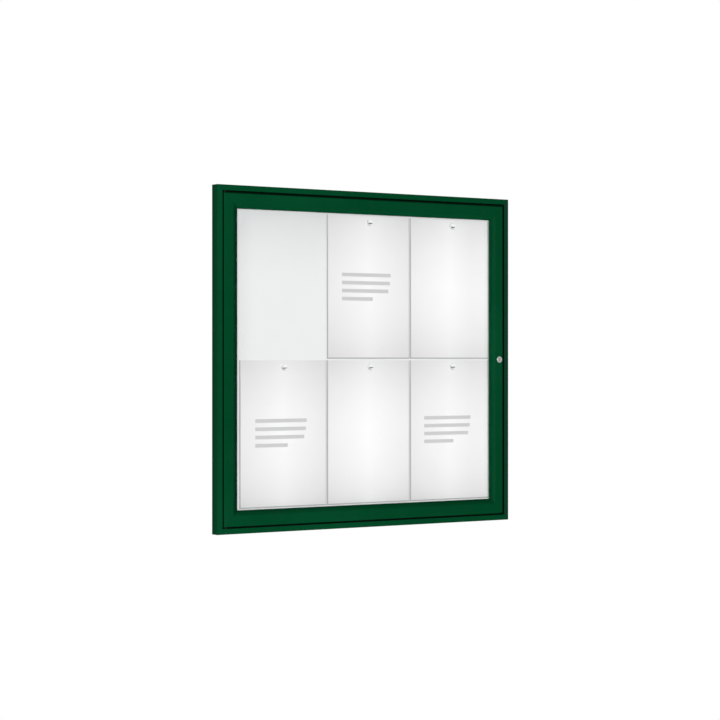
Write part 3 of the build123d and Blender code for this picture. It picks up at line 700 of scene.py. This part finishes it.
def makeSheet(place, shape, turn):
    low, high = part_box("sheet_" + place)
    width, height = high.x - low.x, high.z - low.z
    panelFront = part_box("back_panel")[0].y
    bm = bmesh.new()
    bm.loops.layers.uv.new("sheet")
    middle = Matrix.Translation(((low.x + high.x) / 2, 0, (low.z + high.z) / 2))
    stand = Matrix.Rotation(math.radians(90), 4, "X") @ Matrix.Diagonal((width, height, 1, 1))
    bmesh.ops.create_grid(bm, x_segments=shape["columns"], y_segments=shape["rows"], size=0.5,
                          matrix=middle @ stand, calc_uvs=True)
    wavesDown, wavesAcross = shape["waveTurns"]
    for vert in bm.verts:
        drop = high.z - vert.co.z
        side = (vert.co.x - low.x) / width * 2 - 1
        t = min(max((drop - shape["flat"]) / shape["ease"], 0.0), 1.0)
        off = shape["standoff"] * t * t * (3 - 2 * t)
        reach = max(drop - shape["flat"] - shape["ease"], 0.0) / height
        off += shape["curl"] * reach * reach * abs(side) ** 3
        off += shape["wave"] * t * math.sin(wavesDown * reach + wavesAcross * side + turn)
        vert.co.y = panelFront - shape["clearance"] - shape["thickness"] - off
    for face in bm.faces:
        face.smooth = True
    for edge in bm.edges:
        edge.smooth = not edge.is_boundary      # cut edges stay crisp
    material = noticePaper if place in shape["printed"] else plainPaper
    piece = finishPiece("paper_" + place, bm, material, "case")
    solid = piece.modifiers.new("thickness", "SOLIDIFY")
    solid.thickness, solid.offset = shape["thickness"], -1.0
    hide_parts("sheet_" + place)


# magnets: a dished white cap on a grey body, with a dark grip bar across the dish
magnetShape = {
    "turns": 56,
    "dish": 0.0009, "dishSteps": 6, "dishReach": 0.80,
    "rim": 0.0007, "rimAngles": (0, 18, 36, 54, 72, 90),
    "waist": 0.00035, "waistAt": (0.55, 0.72),  # shares of the depth
    "foot": 0.0003,
    "weld": 0.000001,
    "crease": 35,                  # degrees
    "barLength": 0.0124, "barHeight": 0.0019, "barDepth": 0.0006, "barSunk": 0.00005,
    "barCorner": 0.0009, "barEdge": 0.00015,
    "bars": {                      # turn in degrees, and drop below the middle
        "top_middle": (2.0, 0.0016), "top_right": (1.0, 0.0018), "bottom_left": (4.0, 0.0017),
        "bottom_middle": (6.0, 0.0010), "bottom_right": (3.0, 0.0011),
    },
}


def makeCap(place, shape):
    low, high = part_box("magnet_" + place)
    centre, radius, depth = (low + high) / 2, (high.x - low.x) / 2, high.y - low.y
    # half section from the middle of the dish round to the back, spun about the axis
    reach, rim, foot = shape["dishReach"] * radius, shape["rim"], shape["foot"]
    waistFrom, waistTo = (depth * share for share in shape["waistAt"])
    shares = [step / shape["dishSteps"] for step in range(shape["dishSteps"] + 1)]
    angles = [math.radians(angle) for angle in shape["rimAngles"]]
    section = [(reach * share, shape["dish"] * (1 - share ** 2)) for share in shares]
    section += [(radius - rim + rim * math.sin(a), rim - rim * math.cos(a)) for a in angles]
    section += [(radius - shape["waist"], waistFrom), (radius, waistTo)]
    section += [(radius, depth - foot), (radius - foot, depth), (0, depth)]
    bm = bmesh.new()
    coat = bm.loops.layers.uv.new("cap")
    verts = [bm.verts.new((centre.x + out, low.y + back, centre.z)) for out, back in section]
    edges = [bm.edges.new(pair) for pair in zip(verts, verts[1:])]
    bmesh.ops.spin(bm, geom=verts + edges, cent=centre, axis=(0, 1, 0), angle=2 * math.pi,
                   steps=shape["turns"], use_merge=True)
    bmesh.ops.remove_doubles(bm, verts=bm.verts[:], dist=shape["weld"])
    bmesh.ops.recalc_face_normals(bm, faces=bm.faces[:])
    for face in bm.faces:
        face.smooth = True
        for loop in face.loops:
            spot = loop.vert.co - centre
            loop[coat].uv = (spot.x / radius, spot.z / radius)
    for edge in bm.edges:
        edge.smooth = edge.calc_face_angle(0.0) < math.radians(shape["crease"])
    cap = finishPiece("cap_" + place, bm, magnetCap, "case")
    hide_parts("magnet_" + place)


def makeGrip(place, shape):
    low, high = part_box("magnet_" + place)
    lean, drop = shape["bars"][place]
    depth = shape["barDepth"]
    spot = (low + high) / 2
    spot.y = low.y + depth / 2 + shape["barSunk"]
    spot.z -= drop
    turn = Matrix.Rotation(math.radians(-lean), 4, "Y")
    size = Matrix.Diagonal((shape["barLength"], depth, shape["barHeight"], 1))
    bm = bmesh.new()
    bmesh.ops.create_cube(bm, size=1.0, matrix=Matrix.Translation(spot) @ turn @ size)
    corners = [e for e in bm.edges if abs((e.verts[0].co - e.verts[1].co).y) > depth / 2]
    bmesh.ops.bevel(bm, geom=corners, offset=shape["barCorner"], segments=5, profile=0.5,
                    affect="EDGES", material=-1)
    brim = [e for e in bm.edges if max(v.co.y for v in e.verts) < spot.y]
    bmesh.ops.bevel(bm, geom=brim, offset=shape["barEdge"], segments=2, profile=0.5,
                    affect="EDGES", material=-1)
    finishPiece("grip_" + place, bm, gripRubber, "case")


for count, place in enumerate(magnetShape["bars"]):
    makeSheet(place, sheetShape, sheetShape["nextWave"] * count)
    makeCap(place, magnetShape)
    makeGrip(place, magnetShape)
print("notice case: sheets and magnets hung")

# screws with a cross recess, set where the frame has its plain ones
screwShape = {
    "sides": 40,
    "recess": 0.52, "arm": 0.11, "depth": 0.42,   # shares of the head's radius
    "taper": 0.82,                 # of the recess
    "apart": 0.0085,               # points closer than this belong to one screw
    "turn": 0.7,                   # from one screw to the next, in radians
    "door_cleat_screws": {"body": "door", "head": 0.00335, "shank": 0.0020, "cone": 0.00135},
    "lock_cover_screws": {"body": "door", "head": 0.00240, "shank": 0.0012, "cone": 0.00120},
    "case_cleat_screws": {"body": "case", "head": 0.00314, "base": 0.0035, "shank": 0.0020, "cone": 0.0010},
}


def screwSpots(node, apart):
    groups = []
    for vert in nodes[node].data.vertices:
        spot = Vector((vert.co.x, 0, vert.co.z))
        for group in groups:
            if (group[0] - spot).length < apart:
                group.append(spot)
                break
        else:
            groups.append([spot])
    spots = []
    for group in groups:
        wide, tall = [v.x for v in group], [v.z for v in group]
        spots.append(Vector(((min(wide) + max(wide)) / 2, 0, (min(tall) + max(tall)) / 2)))
    return spots


def ofKind(geom, kind):
    return [item for item in geom if isinstance(item, kind)]


def makeScrews(node, shape):
    size = shape[node]
    low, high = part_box(node)
    head, shank, cone = size["head"], size["shank"], size["cone"]
    facing = Matrix.Rotation(math.radians(-90), 4, "X")
    bm = bmesh.new()
    for count, centre in enumerate(screwSpots(node, shape["apart"])):
        centre.y = high.y
        ring = bmesh.ops.create_circle(bm, cap_ends=True, segments=shape["sides"], radius=head,
                                       matrix=Matrix.Translation(centre) @ facing)
        cap = ring["verts"][0].link_faces[0]
        edges = cap.edges[:]
        # cone or cap of the head, then the shank
        steps = [(cone, size.get("base", shank)), (high.y - low.y, shank)]
        if "base" in size:
            steps.insert(1, (cone, shank))
        for drop, radius in steps:
            grown = bmesh.ops.extrude_edge_only(bm, edges=edges)["geom"]
            fresh = set(ofKind(grown, bmesh.types.BMVert))
            edges = [edge for edge in ofKind(grown, bmesh.types.BMEdge) if set(edge.verts) <= fresh]
            for vert in fresh:
                arm = Vector((vert.co.x - centre.x, 0, vert.co.z - centre.z)).normalized()
                vert.co = centre + arm * radius - Vector((0, drop, 0))
        bmesh.ops.holes_fill(bm, edges=edges)
        # cross recess, turned a little differently on each screw
        bmesh.ops.inset_region(bm, faces=[cap], thickness=head * (1 - shape["recess"]))
        turn = Matrix.Rotation(shape["turn"] * count, 4, "Y")
        axes = [turn @ Vector((1, 0, 0)), turn @ Vector((0, 0, 1))]
        half = head * shape["arm"]
        inner = [cap]
        for axis in axes:
            for side in (-half, half):
                geom = set(inner) | {e for f in inner for e in f.edges} | {v for f in inner for v in f.verts}
                cut = bmesh.ops.bisect_plane(bm, geom=list(geom), plane_no=axis,
                                             plane_co=centre + axis * side)
                inner = ofKind(cut["geom"], bmesh.types.BMFace)
        middles = [(face, face.calc_center_median() - centre) for face in inner]
        cross = [face for face, off in middles if any(abs(off.dot(axis)) < half for axis in axes)]
        sunk = bmesh.ops.extrude_face_region(bm, geom=cross)["geom"]
        for vert in ofKind(sunk, bmesh.types.BMVert):
            vert.co = centre + (vert.co - centre) * shape["taper"] - Vector((0, head * shape["depth"], 0))
        bmesh.ops.delete(bm, geom=[face for face in cross if face.is_valid], context="FACES_ONLY")
    bmesh.ops.recalc_face_normals(bm, faces=bm.faces[:])
    piece = finishPiece(node + "_crossed", bm, zincSteel, size["body"])
    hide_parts(node)


for node in ("door_cleat_screws", "lock_cover_screws", "case_cleat_screws"):
    makeScrews(node, screwShape)
print("notice case: screws set")

# camera at the photograph's angle
cameraView = {
    "place": (-2.5780, -3.7001, -0.0009),
    "turn": -34.765,
    "lens": 108.05, "sensor": 36.0,
    "reach": 100.0,
}
camera = bpy.data.objects.new("camera", bpy.data.cameras.new("camera"))
camera.data.lens, camera.data.sensor_width = cameraView["lens"], cameraView["sensor"]
camera.data.clip_end = cameraView["reach"]
camera.location = cameraView["place"]
camera.rotation_euler = (math.radians(90), 0, math.radians(cameraView["turn"]))
scene.collection.objects.link(camera)
scene.camera = camera

# soft studio light: white surroundings to look at, a gentler level to light by
studio = {
    "ambient": 0.14,
    "keyLevel": 3.06, "keySpread": 10.0, "keyFrom": (-0.520, -0.854, 0.0),
    "fillLevel": 1.5, "fillSpread": 30.0, "fillFrom": (0.30, 0.62, 0.72),      # for the back and the floor
    "floorDrop": 1.75, "floorRadius": 3.9, "floorSides": 96, "floorGlow": 0.42, "floorCloud": 3.0,
    "floorPale": ((0.86, 0.86, 0.86, 1), (0.90, 0.90, 0.90, 1)),
}
world = bpy.data.worlds.new("studioWhite")
world.use_nodes = True
scene.world = world
sky = world.node_tree
surround = sky.nodes["Background"].inputs
surround["Color"].default_value = (1, 1, 1, 1)
put(sky, surround["Strength"], ramp(sky, seenDirectly(sky), 0.0, 1.0, studio["ambient"], 1.0, False))

for lamp in ("key", "fill"):
    light = bpy.data.objects.new(lamp + "Light", bpy.data.lights.new(lamp + "Light", "SUN"))
    light.data.energy, light.data.angle = studio[lamp + "Level"], math.radians(studio[lamp + "Spread"])
    light.rotation_euler = (-Vector(studio[lamp + "From"])).to_track_quat("-Z", "Y").to_euler()
    scene.collection.objects.link(light)

floorFinish, tree, shader = newMaterial("floorWhite", **{"Roughness": 0.8, "Specular IOR Level": 0.2})
cloud = noise(tree, objectPlace(tree), studio["floorCloud"], 4.0)
put(tree, shader["Base Color"], blendColour(tree, cloud, *studio["floorPale"]))
shader["Emission Color"].default_value = (1, 1, 1, 1)
put(tree, shader["Emission Strength"], times(tree, seenDirectly(tree), studio["floorGlow"]))
floorMesh = bpy.data.meshes.new("studioFloor")
bm = bmesh.new()
bmesh.ops.create_circle(bm, cap_ends=True, segments=studio["floorSides"], radius=studio["floorRadius"],
                        matrix=Matrix.Translation((0, 0, -studio["floorDrop"])))
bm.to_mesh(floorMesh)
bm.free()
floorMesh.materials.append(floorFinish)
floor = bpy.data.objects.new("studioFloor", floorMesh)
scene.collection.objects.link(floor)
print("notice case: camera, light and floor set")
